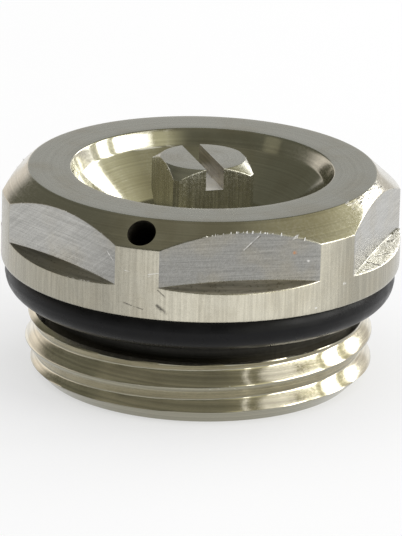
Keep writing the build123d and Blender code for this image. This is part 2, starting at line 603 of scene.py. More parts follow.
TORN_LEDGE = NickelFinish(
    "torn_ledge", (0.76, 0.745, 0.70), roughness=0.34,
    marks=Marks.LEVEL, mark_size=0.22, mark_depth=0.028,
    streak=0.5, grain=1.6, grain_scale=1.6, cross=(0.0, 1.0, 0.15),
    scratches=(
        Scratch((11.15, -2.37, 8.89), (11.7, -1.85, 8.65), 0.13),
        Scratch((11.19, -3.42, 8.81), (11.44, -3.11, 8.71), 0.1),
        Scratch((11.24, -1.18, 8.89), (11.69, 0.41, 8.69), 0.05),
        Scratch((11.16, 1.77, 8.91), (11.3, 2.61, 8.81), 0.14),
    ),
)
TURNED_COLLAR = NickelFinish(
    "turned_collar", (0.385, 0.365, 0.30), roughness=0.26,
    marks=Marks.UPRIGHT, mark_size=0.13, mark_depth=0.0016,
    # The collar is painted brighter on the side at azimuth 29: a painted highlight.
    anisotropy=0.4, streak=0.24, painted_side=PaintedSide(azimuth=29.0, spread=40.0, factor=1.7),
    scratches=(
        Scratch((-0.75, -11.98, 7.88), (-0.25, -11.99, 7.78), 0.06),
        Scratch((-0.10, -11.99, 7.74), (0.43, -11.99, 7.62), 0.05),
        Scratch((1.29, -11.93, 8.91), (1.72, -11.88, 8.52), 0.05),
        Scratch((1.29, -11.93, 7.93), (1.76, -11.87, 7.54), 0.16),
        Scratch((0.71, -11.98, 9.79), (1.53, -11.90, 9.97), 0.03, Tone.BRIGHT),
        Scratch((-0.77, -11.98, 9.87), (0.83, -11.97, 9.65), 0.02, Tone.BRIGHT),
        Scratch((1.50, -11.91, 11.30), (1.50, -11.91, 11.05), 0.06),
        Scratch((1.52, -11.90, 10.66), (1.52, -11.90, 10.50), 0.05),
        Scratch((1.42, -11.92, 9.60), (1.42, -11.92, 9.48), 0.05),
        # These short bright dots are painted glints.
        Scratch((10.66, -5.51, 8.50), (10.70, -5.43, 8.50), 0.10, Tone.BRIGHT),
        Scratch((11.51, -3.38, 7.10), (11.55, -3.30, 7.10), 0.08, Tone.BRIGHT),
        Scratch((9.50, -7.32, 7.41), (9.54, -7.28, 7.41), 0.07, Tone.BRIGHT),
    ),
)
CUT_THREAD = NickelFinish(
    "cut_thread", (0.76, 0.71, 0.585), roughness=0.13,
    marks=Marks.AROUND, mark_size=0.16, mark_depth=0.0010,
    # The wall colour is a painted shade on the downward flanks of the thread.
    slope=(0.3, 1.0), anisotropy=1.0, streak=0.3, roughness_play=0.03, wall=(0.34, 0.325, 0.25),
)
# Dull, and dark as a painted shade in the hollows: the bore, the vent hole, the ring's seat and the
# underside.
INSIDE_PAINTED_SHADE = NickelFinish(
    "inside_painted_shade", (0.12, 0.11, 0.09), roughness=0.55,
    marks=Marks.AROUND, mark_size=0.2, mark_depth=0.0020,
)
# Near black as a painted shade: the neck lies in shade under the O-ring, and its stain colour
# belongs to that painted shade.
PAINTED_SHADE_NECK = NickelFinish(
    "painted_shade_neck", (0.03, 0.029, 0.026), roughness=0.5,
    marks=Marks.AROUND, mark_size=0.2, mark_depth=0.0020,
    stain=(0.02, 0.019, 0.016),
)
SCREW_TOP = NickelFinish(
    "screw_top", (0.57, 0.57, 0.535), roughness=0.28,
    marks=Marks.AROUND, mark_size=0.22, mark_depth=0.0008,
    slope=(1.0, 0.0), streak=0.15, roughness_play=0.03,
)
SCREW_SIDE = NickelFinish(
    "screw_side", (0.70, 0.69, 0.62), roughness=0.25,
    marks=Marks.UPRIGHT, mark_size=0.16, mark_depth=0.0009,
    streak=0.4,
)
SAWN_SLOT = NickelFinish(
    "sawn_slot", (0.66, 0.62, 0.56), roughness=0.40,
    marks=Marks.LEVEL, mark_size=0.12, mark_depth=0.0020,
)
# The slot floor is the same sawn metal as its walls, made pale and mostly unmetallic so that it
# shows bright: a painted highlight.
SLOT_FLOOR = NickelFinish(
    "slot_floor", (0.78, 0.77, 0.73), roughness=0.55,
    marks=Marks.LEVEL, mark_size=0.12, mark_depth=0.0020,
    metallic=0.15,
)
# The slivers are real burrs; their pale, partly unmetallic colour is a painted highlight that makes
# them show as bright specks.
BRIGHT_BURR = NickelFinish(
    "bright_burr", (0.86, 0.85, 0.81), roughness=0.30,
    marks=Marks.AROUND, mark_size=0.10, mark_depth=0.0010,
    metallic=0.6,
)
RING_RUBBER = RubberFinish(
    "ring_rubber_black", (0.005, 0.005, 0.0055), roughness=0.30, dust=0.002, gloss=0.15
)
PAD_RUBBER = RubberFinish("pad_rubber_black", (0.02, 0.02, 0.021), roughness=0.6, dust=0.01)


def add_object(name: str, data: bpy.types.ID) -> Piece:
    """Puts a mesh, a lamp or a camera into the scene.

    Args:
        name: name of the object.
        data: the mesh, lamp or camera.

    Returns:
        The object.
    """
    thing = bpy.data.objects.new(name, data)
    bpy.context.scene.collection.objects.link(thing)
    return thing


def mesh_object(name: str, work: bmesh.types.BMesh, materials: list[Material]) -> Piece:
    """Puts a worked mesh into the scene and frees the work.

    Args:
        name: name of the object.
        work: the worked mesh.
        materials: material of each slot.

    Returns:
        The object.
    """
    mesh = bpy.data.meshes.new(name)
    work.to_mesh(mesh)
    work.free()
    for material in materials:
        mesh.materials.append(material)
    return add_object(name, mesh)


def mend(mesh: bpy.types.Mesh) -> None:
    """Joins doubled points, drops empty faces and turns the others outwards.

    Args:
        mesh: the mesh to mend.
    """
    work = bmesh.new()
    work.from_mesh(mesh)
    bmesh.ops.remove_doubles(work, verts=work.verts, dist=MERGE_DISTANCE)
    bmesh.ops.dissolve_degenerate(work, edges=work.edges, dist=MERGE_DISTANCE)
    bmesh.ops.recalc_face_normals(work, faces=work.faces)
    work.to_mesh(mesh)
    work.free()


def cut_away(piece: Piece, cutter: Piece) -> None:
    """Cuts one piece's shape out of another and drops the cutter.

    Args:
        piece: the piece to cut.
        cutter: the shape to take away.
    """
    modifier = piece.modifiers.new("cut", "BOOLEAN")
    modifier.operation = "DIFFERENCE"
    modifier.solver = "EXACT"
    modifier.object = cutter
    bpy.context.view_layer.update()
    depsgraph = bpy.context.evaluated_depsgraph_get()
    made = bpy.data.meshes.new_from_object(piece.evaluated_get(depsgraph))
    piece.modifiers.clear()
    piece.data = made
    bpy.data.objects.remove(cutter)


def smooth(piece: Piece) -> None:
    """Shades every face of a piece smoothly."""
    piece.data.polygons.foreach_set("use_smooth", [True] * len(piece.data.polygons))


def ease_shading(piece: Piece, angle: float = 38.0, weight: int = 60) -> None:
    """Smooth shading with crisp edges, led by the larger faces.

    Args:
        piece: the piece to shade.
        angle: edges sharper than this stay crisp.
        weight: how strongly the larger faces lead.
    """
    smooth(piece)
    piece.data.set_sharp_from_angle(angle=math.radians(angle))
    lead = piece.modifiers.new("lead", "WEIGHTED_NORMAL")
    lead.keep_sharp = True
    lead.weight = weight


def side_azimuths(first: float, sides: int, half: float, on_side: int, between: int) -> np.ndarray:
    """Azimuths of the columns of a prism, exactly on the edges of its sides.

    Args:
        first: azimuth of the first side's middle.
        sides: how many sides there are.
        half: half the angle that a side takes up.
        on_side: columns on each side.
        between: columns on each corner.

    Returns:
        The azimuths.
    """
    step = 360 / sides
    side = np.linspace(-half, half, on_side, endpoint=False)
    corner = np.linspace(half, step - half, between, endpoint=False)
    one = np.concatenate([side, corner])
    return np.concatenate([first + step * index + one for index in range(sides)])


def from_middle(azimuth: PerAzimuth, first: float, sides: int) -> PerAzimuth:
    """Angle from the middle of the nearest side of a prism.

    Args:
        azimuth: the azimuth, or one for each column.
        first: azimuth of the first side's middle.
        sides: how many sides there are.

    Returns:
        The angle.
    """
    step = 360 / sides
    return (azimuth - first + step / 2) % step - step / 2


@dataclass(frozen=True)
class Corner:
    """A corner of a profile: its place, the slot after it and how far its edge is eased."""

    radius: PerAzimuth
    height: PerAzimuth
    zone: np.ndarray | int
    ease: float = 0.0


@dataclass
class PolarShell:
    """A closed skin over rings of points round the upright axis."""

    azimuths: np.ndarray
    rows: list[np.ndarray] = field(default_factory=list)
    zones: list[np.ndarray] = field(default_factory=list)
    bend_shares: tuple[float, ...] = (0.0, 0.25, 0.5, 0.75, 1.0)
    longest_step: float = 0.4

    def ring(self, radius: PerAzimuth, height: PerAzimuth) -> np.ndarray:
        """Radius and height at each azimuth."""
        count = len(self.azimuths)
        return np.stack([np.broadcast_to(radius, count), np.broadcast_to(height, count)], axis=1)

    def lay(self, ring: np.ndarray, zone: np.ndarray | int) -> None:
        """Adds a ring, and the slot of the faces between it and the next one."""
        self.rows.append(ring)
        self.zones.append(np.broadcast_to(zone, len(self.azimuths)))

    def add(self, radius: PerAzimuth, height: PerAzimuth, zone: np.ndarray | int) -> None:
        """Adds a ring by its radius and height."""
        self.lay(self.ring(radius, height), zone)

    def chain(self, corners: list[Corner], cuts: int) -> None:
        """Adds the rings of an open profile with eased corners.

        Args:
            corners: the profile's corners, in order.
            cuts: rings between two corners.
        """
        points = [self.ring(corner.radius, corner.height) for corner in corners]
        last = len(points) - 1
        for index, (corner, point) in enumerate(zip(corners, points)):
            leave = point
            if corner.ease <= 0 or index in (0, last):
                self.lay(point, corner.zone)
            else:
                arrive = point + self.step(points[index - 1] - point, corner.ease)
                leave = point + self.step(points[index + 1] - point, corner.ease)
                for share in self.bend_shares:
                    rest = 1 - share
                    bent = rest**2 * arrive + 2 * share * rest * point + share**2 * leave
                    self.lay(bent, corners[index - 1].zone if share < 0.5 else corner.zone)
            if index < last:
                ease = corners[index + 1].ease if index + 1 < last else 0.0
                arrive = points[index + 1] + self.step(point - points[index + 1], ease)
                for cut in range(1, cuts + 1):
                    share = cut / (cuts + 1)
                    self.lay((1 - share) * leave + share * arrive, corner.zone)

    def step(self, way: np.ndarray, setback: float) -> np.ndarray:
        """A step along a way, no longer than a share of it.

        Args:
            way: the vectors to the next corner.
            setback: length of the step.

        Returns:
            The steps.
        """
        length = np.maximum(np.linalg.norm(way, axis=1, keepdims=True), LEAST_LENGTH)
        return way / length * np.minimum(setback, self.longest_step * length)

    def mesh(self, name: str, closed: bool, materials: list[Material]) -> Piece:
        """Makes the skin.

        Args:
            name: name of the piece.
            closed: whether the last ring joins the first; otherwise both ends get a flat cap.
            materials: material of each slot.

        Returns:
            The piece.
        """
        turn = np.radians(self.azimuths)
        rings = np.array(self.rows) * MM
        total, count = rings.shape[:2]
        x, y = rings[:, :, 0] * np.sin(turn), -rings[:, :, 0] * np.cos(turn)
        vertices = np.stack([x, y, rings[:, :, 1]], axis=2).reshape(-1, 3).tolist()
        pairs = [(column, (column + 1) % count) for column in range(count)]
        faces, slots = [], []
        for row in range(total if closed else total - 1):
            here, below = row * count, (row + 1) % total * count
            faces += [(here + a, here + b, below + b, below + a) for a, b in pairs]
            slots += self.zones[row].tolist()
        ends = () if closed else (0, total - 1)
        for row in ends:
            middle = len(vertices)
            vertices.append((0.0, 0.0, float(rings[row, 0, 1])))
            faces += [(row * count + a, row * count + b, middle) for a, b in pairs]
            slots += self.zones[row].tolist()
        mesh = bpy.data.meshes.new(name)
        mesh.from_pydata(vertices, [], faces)
        mesh.polygons.foreach_set("material_index", slots)
        for material in materials:
            mesh.materials.append(material)
        mend(mesh)
        return add_object(name, mesh)


@dataclass(frozen=True)
class Chip:
    """A sliver of metal torn up along an edge; its shares are of its height and half length."""

    foot: Vector
    along: Vector
    outward: Vector
    length: float
    height: float
    thickness: float = 0.22
    sunk: float = 0.35
    tip_shift: float = 0.3
    ridge_height: float = 0.55
    ridge_shift: float = 0.55

    def corners(self) -> list[Vector]:
        """Where the sliver's corners are.

        Returns:
            Four corners of the sunk foot, then the ridge and the tip.
        """
        side = self.along.cross(self.outward).normalized()
        half, thick = 0.5 * self.length * self.along, self.thickness * self.height * side
        low = self.foot - self.sunk * self.height * self.outward
        tip = self.foot + self.height * self.outward + self.tip_shift * half
        ridge = self.foot + self.ridge_height * self.height * self.outward
        ridge -= self.ridge_shift * half
        base = [low - half - thick, low + half - thick, low + half + thick, low - half + thick]
        return [*base, ridge, tip]


@dataclass(frozen=True)
class Burrs:
    """Slivers left along the edges by the cutters; the sides go by a sliver's corners."""

    chips: tuple[Chip, ...]
    sides: tuple[tuple[int, ...], ...] = (
        (0, 1, 5, 4), (1, 2, 5), (2, 3, 4, 5), (3, 0, 4), (0, 3, 2, 1)
    )

    def join(self, piece: Piece) -> None:
        """Adds the slivers to the piece that they were torn from.

        Args:
            piece: the piece.
        """
        mesh = piece.data
        slot = len(mesh.materials)
        mesh.materials.append(BRIGHT_BURR.material())
        work = bmesh.new()
        work.from_mesh(mesh)
        faces = []
        for chip in self.chips:
            points = [work.verts.new(corner * MM) for corner in chip.corners()]
            faces += [work.faces.new([points[index] for index in side]) for side in self.sides]
        for face in faces:
            face.material_index = slot
        bmesh.ops.recalc_face_normals(work, faces=faces)
        work.to_mesh(mesh)
        work.free()


@dataclass
class Plug:
    """The plug: hexagon head with funnel, collar, neck and pipe thread."""

    head_top: float = 12.7
    collar_bottom: float = 7.0
    collar_r: float = 12.0005
    collar_edge: float = 0.3
    flat_r: float = 11.0005
    flat_count: int = 6
    flat_azimuth: float = 30.0
    flat_columns: int = 52
    land_columns: int = 14
    shoulder_width: float = 1.55
    shoulder_drop: float = 1.4
    ledge_z: float = 9.32
    ledge_slope: float = 25.6
    ledge_sweep: float = 12.0
    ledge_shifts: tuple[float, ...] = (-0.05, -0.30, -0.15, -0.15, -0.15, -0.17)
    ledge_least_drop: float = 0.01
    ledge_ease: float = 0.03
    rim_r: float = 7.91
    lip_draft: float = 0.48
    lip_depth: float = 1.0
    lip_ease: float = 0.10
    floor_r: float = 5.0
    floor_width: float = 0.3
    floor_ease: float = 0.12
    hole_r: float = 4.0
    countersink: float = 0.3
    chamber_r: float = 3.4
    chamber_floor: float = 3.6
    chamber_top: float = 6.0
    seat_r: float = 1.95
    seat_z: float = 4.1
    seat_edge: float = 0.2
    orifice_r: float = 1.25
    underside_r: float = 7.2155
    underside_depth: float = 2.4
    underside_edge: float = 0.4
    neck_r: float = 9.2505
    ring_seat_z: float = 7.44
    ring_lip_r: float = 11.5127
    ring_lip_ease: float = 0.04
    thread_r: float = 10.4775
    thread_pitch: float = 25.4 / 14
    thread_depth: float = 0.60
    thread_flat: float = 0.06
    thread_top: float = 3.84
    thread_top_chamfer: float = 0.5
    thread_end_chamfer: float = 1.0
    thread_ease: float = 0.15
    thread_rings: int = 81
    crest_z_at_vent: float = 2.33
    vent_d: float = 1.7
    drill_overrun: float = 1.5
    drill_sides: int = 48
    torn_azimuth: float = 90.0
    edge: float = 0.07

    @property
    def face_r(self) -> float:
        """Radius at which the top face meets the shoulder."""
        return self.collar_r - self.shoulder_width

    @property
    def lip(self) -> tuple[float, float]:
        """Radius and height at which the funnel's lip meets its cone."""
        return self.rim_r - self.lip_draft, self.head_top - self.lip_depth

    @property
    def floor_z(self) -> float:
        """Height of the funnel's floor, to which the cone falls at 45 degrees."""
        lip_r, lip_z = self.lip
        return lip_z - (lip_r - self.floor_r)

    @property
    def flat_half(self) -> float:
        """Half the angle that a flat takes up."""
        return math.degrees(math.acos(self.flat_r / self.collar_r))

    def flat_middles(self) -> list[float]:
        """Azimuth of each flat's middle."""
        step = 360 / self.flat_count
        return [self.flat_azimuth + step * index for index in range(self.flat_count)]

    def from_flat(self, azimuth: PerAzimuth) -> PerAzimuth:
        """Angle from the middle of the nearest flat."""
        return from_middle(azimuth, self.flat_azimuth, self.flat_count)

    def shoulder_height(self, radius: PerAzimuth) -> PerAzimuth:
        """Height of the shoulder at a radius."""
        return self.head_top - (radius - self.face_r) * self.shoulder_drop / self.shoulder_width

    def crest_height(self, azimuth: PerAzimuth) -> PerAzimuth:
        """Height of the thread's crest at an azimuth."""
        return self.crest_z_at_vent + self.thread_pitch * azimuth / 360

    def ledge_height(self, radius: PerAzimuth, angle: PerAzimuth) -> PerAzimuth:
        """Nominal height of the bowed ledge.

        Args:
            radius: distance from the plug's axis.
            angle: angle from the flat's middle.

        Returns:
            The height at each point.
        """
        phi = np.radians(angle)
        reach = np.hypot(radius * np.cos(phi) + self.ledge_sweep, radius * np.sin(phi))
        past_flat = reach - self.ledge_sweep - self.flat_r
        return self.ledge_z - past_flat * math.tan(math.radians(self.ledge_slope))

    def ledge_shift(self, azimuth: PerAzimuth) -> PerAzimuth:
        """How far each ledge was milled off its nominal height.

        Args:
            azimuth: azimuth of each point.

        Returns:
            The shift at each point.
        """
        flat = np.round((azimuth - self.flat_azimuth) * self.flat_count / 360).astype(int)
        return np.array(self.ledge_shifts)[flat % self.flat_count]

    def ledge_at(self, radius: float, azimuth: float) -> float:
        """Height of the ledge as it was milled."""
        nominal = self.ledge_height(radius, self.from_flat(azimuth))
        return float(nominal + self.ledge_shift(azimuth))

    def thread_radius(self, azimuths: np.ndarray, height: float) -> np.ndarray:
        """Radius of the thread, with slightly rounded crests and roots and chamfered ends.

        Args:
            azimuths: azimuth of each column.
            height: height of the ring.

        Returns:
            The radius at each azimuth.
        """
        turns = (height - self.crest_height(azimuths)) / self.thread_pitch
        away = np.abs(turns - np.round(turns)) * self.thread_pitch
        flank = self.thread_pitch / 2 - self.thread_flat
        share = np.clip((away - self.thread_flat / 2) / flank, 0, 1)
        round_share = share * share * (3 - 2 * share)
        eased = (1 - self.thread_ease) * share + self.thread_ease * round_share
        radius = self.thread_r - self.thread_depth * eased
        lead = self.thread_r - self.thread_end_chamfer + height
        top = self.thread_r - self.thread_top_chamfer + self.thread_top - height
        return np.minimum(np.minimum(radius, lead), top)

    def bore(self) -> list[Corner]:
        """Profile from the hollow underside up to the funnel's floor.

        Returns:
            The profile's corners.
        """
        inside, funnel = PlugZone.INSIDE, PlugZone.FUNNEL
        return [
            Corner(self.underside_r, self.underside_depth, inside),
            Corner(self.orifice_r, self.underside_depth, inside),
            Corner(self.orifice_r, self.seat_z - self.seat_edge, inside),
            Corner(self.orifice_r + self.seat_edge, self.seat_z, inside),
            Corner(self.seat_r, self.seat_z, inside),
            Corner(self.seat_r, self.chamber_floor, inside),
            Corner(self.chamber_r, self.chamber_floor, inside),
            Corner(self.chamber_r, self.chamber_top, inside),
            Corner(self.hole_r, self.chamber_top, inside),
            Corner(self.hole_r, self.floor_z - self.countersink, funnel),
            Corner(self.hole_r + self.countersink, self.floor_z, funnel),
        ]

    def head(self, azimuths: np.ndarray) -> list[Corner]:
        """Profile from the funnel's floor over the head to the seat of the O-ring.

        Args:
            azimuths: azimuth of each column.

        Returns:
            The profile's corners.
        """
        half, phi = self.flat_half, self.from_flat(azimuths)
        on_flat = (phi >= -half - EDGE_SLACK) & (phi < half - EDGE_SLACK)
        angle = np.clip(phi, -half, half)
        flat_r = np.minimum(self.flat_r / np.cos(np.radians(angle)), self.collar_r)
        shift = self.ledge_shift(azimuths)
        ledge_in = self.ledge_height(flat_r, angle) + shift
        ledge_out = self.ledge_height(self.collar_r, angle) + shift
        ledge_out = np.minimum(ledge_out, ledge_in - self.ledge_least_drop)
        torn = np.abs((azimuths - self.torn_azimuth + 180) % 360 - 180) < half
        collar, inside, funnel = PlugZone.COLLAR, PlugZone.INSIDE, PlugZone.FUNNEL
        flat_zone = np.where(on_flat, PlugZone.FLAT, collar)
        ledge_zone = np.where(on_flat, np.where(torn, PlugZone.TORN, PlugZone.LEDGE), collar)
        return [
            Corner(self.floor_r - self.floor_width, self.floor_z, funnel),
            Corner(self.floor_r, self.floor_z, funnel, self.floor_ease),
            Corner(*self.lip, funnel, self.lip_ease),
            Corner(self.rim_r, self.head_top, PlugZone.FACE, self.edge),
            Corner(self.face_r, self.head_top, PlugZone.SHOULDER, self.edge),
            Corner(flat_r, self.shoulder_height(flat_r), flat_zone, self.edge),
            Corner(flat_r, ledge_in, ledge_zone, self.ledge_ease),
            Corner(self.collar_r, ledge_out, collar, self.edge),
            Corner(self.collar_r, self.collar_bottom, collar, self.collar_edge),
            Corner(self.ring_lip_r, self.collar_bottom, inside, self.ring_lip_ease),
            Corner(self.ring_lip_r, self.ring_seat_z, inside),
        ]

    def build(self) -> Piece:
        """Makes the plug's skin and drills the vent hole.

        Returns:
            The piece.
        """
        azimuths = side_azimuths(
            self.flat_azimuth, self.flat_count, self.flat_half, self.flat_columns, self.land_columns
        )
        thread = PlugZone.THREAD
        shell = PolarShell(azimuths)
        shell.chain(self.bore(), cuts=0)
        shell.chain(self.head(azimuths), cuts=4)
        shell.add(self.neck_r, self.ring_seat_z, PlugZone.NECK)
        shell.add(self.neck_r, self.thread_top, thread)
        for height in np.linspace(self.thread_top, 0.0, self.thread_rings):
            shell.add(self.thread_radius(azimuths, height), height, thread)
        shell.add(self.underside_r + self.underside_edge, 0.0, thread)
        shell.add(self.underside_r, self.underside_edge, PlugZone.INSIDE)
        finishes = {
            PlugZone.FACE: TURNED_FACE,
            PlugZone.FUNNEL: BRIGHT_FUNNEL,
            PlugZone.SHOULDER: BRIGHT_SHOULDER,
            PlugZone.FLAT: MILLED_FLAT,
            PlugZone.LEDGE: MILLED_LEDGE,
            PlugZone.COLLAR: TURNED_COLLAR,
            PlugZone.THREAD: CUT_THREAD,
            PlugZone.INSIDE: INSIDE_PAINTED_SHADE,
            PlugZone.NECK: PAINTED_SHADE_NECK,
            PlugZone.TORN: TORN_LEDGE,
        }
        materials = [finishes[zone].material() for zone in PlugZone]
        piece = shell.mesh("vent_plug", True, materials)
        cut_away(piece, self.vent_drill(materials))
        return piece

    def vent_drill(self, materials: list[Material]) -> Piece:
        """The slanted drill of the vent hole.

        Args:
            materials: the plug's materials, so that the hole takes the inside one, with its painted
                shade.

        Returns:
            The drill.
        """
        mouth_r = self.collar_r - self.shoulder_width / 2
        mouth = Vector((0, -mouth_r, self.head_top - self.shoulder_drop / 2))
        inner = Vector((0, -self.chamber_r, self.chamber_top - self.vent_d / 2))
        way = (mouth - inner).normalized()
        start, end = inner - self.drill_overrun * way, mouth + self.drill_overrun * way
        place = Matrix.Translation((start + end) / 2 * MM)
        radius = self.vent_d / 2 * MM
        work = bmesh.new()
        bmesh.ops.create_cone(
            work,
            cap_ends=True,
            segments=self.drill_sides,
            radius1=radius,
            radius2=radius,
            depth=(end - start).length * MM,
            matrix=place @ way.to_track_quat("Z", "Y").to_matrix().to_4x4(),
        )
        for face in work.faces:
            face.material_index = PlugZone.INSIDE
        return mesh_object("vent_drill", work, materials)

    def dress(self, burrs: Burrs) -> Piece:
        """Builds the plug in place of its solid.

        Args:
            burrs: the slivers along its edges.

        Returns:
            The piece.
        """
        piece = self.build()
        burrs.join(piece)
        ease_shading(piece)
        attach(piece, "plug")
        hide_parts("plug_body")
        return piece


@dataclass
class SealingRing:
    """The O-ring under the collar, with a faint mould line."""

    centre_r: float = 10.5005
    centre_z: float = 6.19
    section_r: float = 1.25
    mould_line: float = 0.02
    mould_width: float = 0.05
    columns: int = 256
    section_points: int = 64

    def dress(self) -> Piece:
        """Builds the ring in place of its solid.

        Returns:
            The piece.
        """
        shell = PolarShell(np.linspace(0, 360, self.columns, endpoint=False))
        for turn in np.linspace(0, 2 * math.pi, self.section_points, endpoint=False):
            line = self.mould_line * math.exp(-((math.sin(turn) / self.mould_width) ** 2))
            radius = self.section_r - self.mould_line + line
            out, up = radius * math.cos(turn), radius * math.sin(turn)
            shell.add(self.centre_r + out, self.centre_z + up, 0)
        piece = shell.mesh("sealing_ring", True, [RING_RUBBER.material()])
        smooth(piece)
        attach(piece, "plug")
        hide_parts("head_ring")
        return piece


@dataclass
class BleedScrew:
    """The bleed screw: slotted square, neck, shank and tip."""

    top_z: float = 13.35
    top_r: float = 2.55
    top_slope: float = 35.0
    top_inner_r: float = 0.4
    half_af: float = 2.5
    corner_r: float = 3.35
    side_count: int = 4
    side_columns: int = 28
    corner_columns: int = 8
    rim_gap: float = 0.02
    least_bevel: float = 0.01
    taper_top: float = 10.9
    neck_top: float = 9.7
    neck_r: float = 2.75
    shank_r: float = 3.95
    shank_top: float = 9.27
    shank_bottom: float = 6.1
    shank_chamfer: float = 0.37
    tip_r: float = 2.6
    tip_z: float = 5.17
    socket_r: float = 1.05
    bead_r: float = 1.35
    bead_bottom: float = 6.2
    bead_top: float = 6.7
    socket_top: float = 6.95
    slot_width: float = 1.1
    slot_depth: float = 1.3
    slot_azimuth: float = 35.3
    edge: float = 0.06
    rim_ease: float = 0.03
    neck_ease: float = 0.02

    def square(self, azimuths: np.ndarray) -> list[Corner]:
        """Profile from the top over the square to the foot of its neck.

        Args:
            azimuths: azimuth of each column.

        Returns:
            The profile's corners.
        """
        phi = np.radians(from_middle(azimuths, self.slot_azimuth, self.side_count))
        square_r = np.minimum(self.half_af / np.cos(phi), self.corner_r)
        rim_r = np.minimum(self.top_r, square_r - self.rim_gap)
        bevel = np.maximum(square_r - self.top_r, self.least_bevel)
        bevel_z = self.top_z - bevel * math.tan(math.radians(self.top_slope))
        taper = (self.taper_top - self.neck_top) / (self.corner_r - self.neck_r)
        foot_z = self.neck_top + np.maximum(square_r - self.neck_r, 0.0) * taper
        top, side = ScrewZone.TOP, ScrewZone.SIDE
        return [
            Corner(self.top_inner_r, self.top_z, top),
            Corner(rim_r, self.top_z, top, self.rim_ease),
            Corner(square_r, bevel_z, side, self.edge),
            Corner(square_r, foot_z, side, self.rim_ease),
            Corner(self.neck_r, self.neck_top - self.least_bevel, side, self.neck_ease),
            Corner(self.neck_r, self.shank_top, side),
        ]

    def shank(self) -> list[Corner]:
        """Profile of the shank, its tip and the socket with the bead's groove.

        Returns:
            The profile's corners.
        """
        end_r = self.shank_r - self.shank_chamfer
        places = (
            (end_r, self.shank_top),
            (self.shank_r, self.shank_top - self.shank_chamfer),
            (self.shank_r, self.shank_bottom + self.shank_chamfer),
            (end_r, self.shank_bottom),
            (self.tip_r, self.shank_bottom),
            (self.tip_r, self.tip_z),
            (self.socket_r, self.tip_z),
            (self.socket_r, self.bead_bottom),
            (self.bead_r, self.bead_bottom),
            (self.bead_r, self.bead_top),
            (self.socket_r, self.bead_top),
            (self.socket_r, self.socket_top),
        )
        return [Corner(radius, height, ScrewZone.SIDE) for radius, height in places]

    def build(self) -> Piece:
        """Makes the screw's skin and saws its slot.

        Returns:
            The piece.
        """
        half = math.degrees(math.acos(self.half_af / self.corner_r))
        azimuths = side_azimuths(
            self.slot_azimuth, self.side_count, half, self.side_columns, self.corner_columns
        )
        shell = PolarShell(azimuths)
        shell.chain(self.square(azimuths) + self.shank(), cuts=2)
        finishes = {
            ScrewZone.TOP: SCREW_TOP,
            ScrewZone.SIDE: SCREW_SIDE,
            ScrewZone.SLOT_WALL: SAWN_SLOT,
            ScrewZone.SLOT_FLOOR: SLOT_FLOOR,
        }
        materials = [finishes[zone].material() for zone in ScrewZone]
        piece = shell.mesh("slotted_screw", False, materials)
        cut_away(piece, self.saw(materials))
        return piece

    def saw(self, materials: list[Material]) -> Piece:
        """The blade that cuts the driver slot.

        Args:
            materials: the screw's materials, so that the slot takes its own.

        Returns:
            The blade.
        """
        length, width, height = 4 * self.corner_r, self.slot_width, 2 * self.slot_depth
        size = Matrix.Diagonal((length * MM, width * MM, height * MM, 1))
        turn = Matrix.Rotation(math.radians(self.slot_azimuth - 90), 4, "Z")
        place = turn @ Matrix.Translation((0, 0, self.top_z * MM))
        work = bmesh.new()
        bmesh.ops.create_cube(work, size=1, matrix=place @ size)
        work.normal_update()
        for face in work.faces:
            level = abs(face.normal.z) > 0.5
            face.material_index = ScrewZone.SLOT_FLOOR if level else ScrewZone.SLOT_WALL
        return mesh_object("slot_saw", work, materials)

    def dress(self, burrs: Burrs) -> Piece:
        """Builds the screw in place of its solid.

        Args:
            burrs: the slivers along its edges.

        Returns:
            The piece.
        """
        piece = self.build()
        burrs.join(piece)
        ease_shading(piece)
        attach(piece, "screw")
        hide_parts("bleed_screw")
        return piece


@dataclass
class ValvePad:
    """The soft pad under the screw, which keeps its solid."""

    node: str = "valve_pad"

    def dress(self) -> Piece:
        """Gives the pad its rubber.

        Returns:
            The piece.
        """
        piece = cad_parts[self.node]
        piece.data.materials.clear()
        piece.data.materials.append(PAD_RUBBER.material())
        return piece


@dataclass(frozen=True)
class ChipKind:
    """How a kind of sliver leans up from level, and its usual length and height."""

    rise: float
    length: float
    height: float


SPIKE = ChipKind(rise=60, length=0.08, height=0.19)
LARGE_CHIP = ChipKind(rise=45, length=0.60, height=0.42)
SIDE_CHIP = ChipKind(rise=20, length=0.26, height=0.16)
FINE_CHIP = ChipKind(rise=40, length=0.10, height=0.05)
LEDGE_CHIP = ChipKind(rise=30, length=0.20, height=0.04)
SHOULDER_CHIP = ChipKind(rise=20, length=0.34, height=0.10)
SHOULDER_CURL = ChipKind(rise=45, length=0.70, height=0.13)
TORN_CHIP = ChipKind(rise=50, length=0.50, height=0.12)
THREAD_NICK = ChipKind(rise=10, length=0.12, height=0.05)
SQUARE_CHIP = ChipKind(rise=25, length=0.13, height=0.08)


@dataclass(frozen=True)
class Tear:
    """A stretch of the shoulder's inner edge with slivers of one kind."""

    kind: ChipKind
    count: int
    start: float
    end: float
    reach: float


